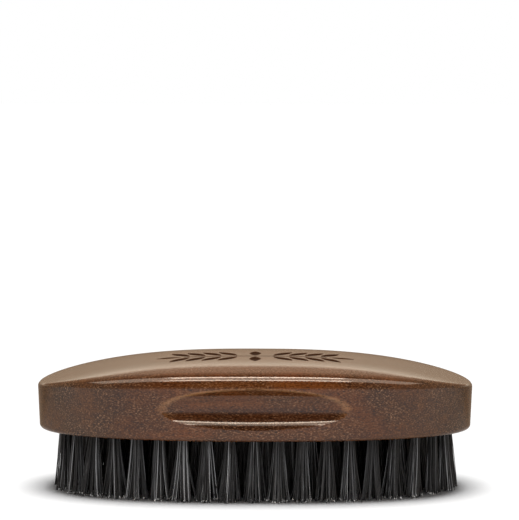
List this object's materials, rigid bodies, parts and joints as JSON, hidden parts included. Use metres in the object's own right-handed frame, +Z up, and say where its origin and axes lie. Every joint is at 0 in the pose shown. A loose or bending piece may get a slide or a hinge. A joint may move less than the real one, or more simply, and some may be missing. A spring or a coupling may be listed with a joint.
{
  "type": "beard brush",
  "caption": "Palm-held oval beard brush: a domed wooden block with side finger grooves and an engraved sprig, filled below with tufts of black bristle on wire anchors.",
  "frame": {"origin": "on the plane of the bristle tips, under the middle of the brush", "axes": "+X along the brush's length, +Y across its width, +Z up through the crown of the block, with the brush standing on its bristles"},
  "size_m": [0.1092, 0.0584, 0.0331],
  "materials": {
    "stained_wood": "dark walnut stain under a satin lacquer, redder on the rounded edges and in the grooves",
    "bristle": "black boar bristle, stiff fibres with a slight sheen",
    "anchor_wire": "flat drawn steel wire"
  },
  "bodies": {
    "root": {"wooden_block": "stained_wood", "outer_tuft_01": "bristle", "outer_tuft_02": "bristle", "outer_tuft_03": "bristle", "outer_tuft_04": "bristle", "outer_tuft_05": "bristle", "outer_tuft_06": "bristle", "outer_tuft_07": "bristle", "outer_tuft_08": "bristle", "outer_tuft_09": "bristle", "outer_tuft_10": "bristle", "outer_tuft_11": "bristle", "outer_tuft_12": "bristle", "outer_tuft_13": "bristle", "outer_tuft_14": "bristle", "outer_tuft_15": "bristle", "outer_tuft_16": "bristle", "outer_tuft_17": "bristle", "outer_tuft_18": "bristle", "outer_tuft_19": "bristle", "outer_tuft_20": "bristle", "outer_tuft_21": "bristle", "outer_tuft_22": "bristle", "outer_tuft_23": "bristle", "outer_tuft_24": "bristle", "outer_tuft_25": "bristle", "outer_tuft_26": "bristle", "outer_tuft_27": "bristle", "outer_tuft_28": "bristle", "outer_tuft_29": "bristle", "outer_tuft_30": "bristle", "outer_tuft_31": "bristle", "outer_tuft_32": "bristle", "outer_tuft_33": "bristle", "outer_tuft_34": "bristle", "outer_tuft_35": "bristle", "outer_tuft_36": "bristle", "outer_tuft_37": "bristle", "outer_tuft_38": "bristle", "outer_tuft_39": "bristle", "outer_tuft_40": "bristle", "inner_tuft_row_01": "bristle", "inner_tuft_row_02": "bristle", "inner_tuft_row_03": "bristle", "inner_tuft_row_04": "bristle", "inner_tuft_row_05": "bristle", "inner_tuft_row_06": "bristle", "inner_tuft_row_07": "bristle", "outer_row_anchors": "anchor_wire", "inner_anchor_row_01": "anchor_wire", "inner_anchor_row_02": "anchor_wire", "inner_anchor_row_03": "anchor_wire", "inner_anchor_row_04": "anchor_wire", "inner_anchor_row_05": "anchor_wire", "inner_anchor_row_06": "anchor_wire", "inner_anchor_row_07": "anchor_wire"}
  },
  "joints": []
}
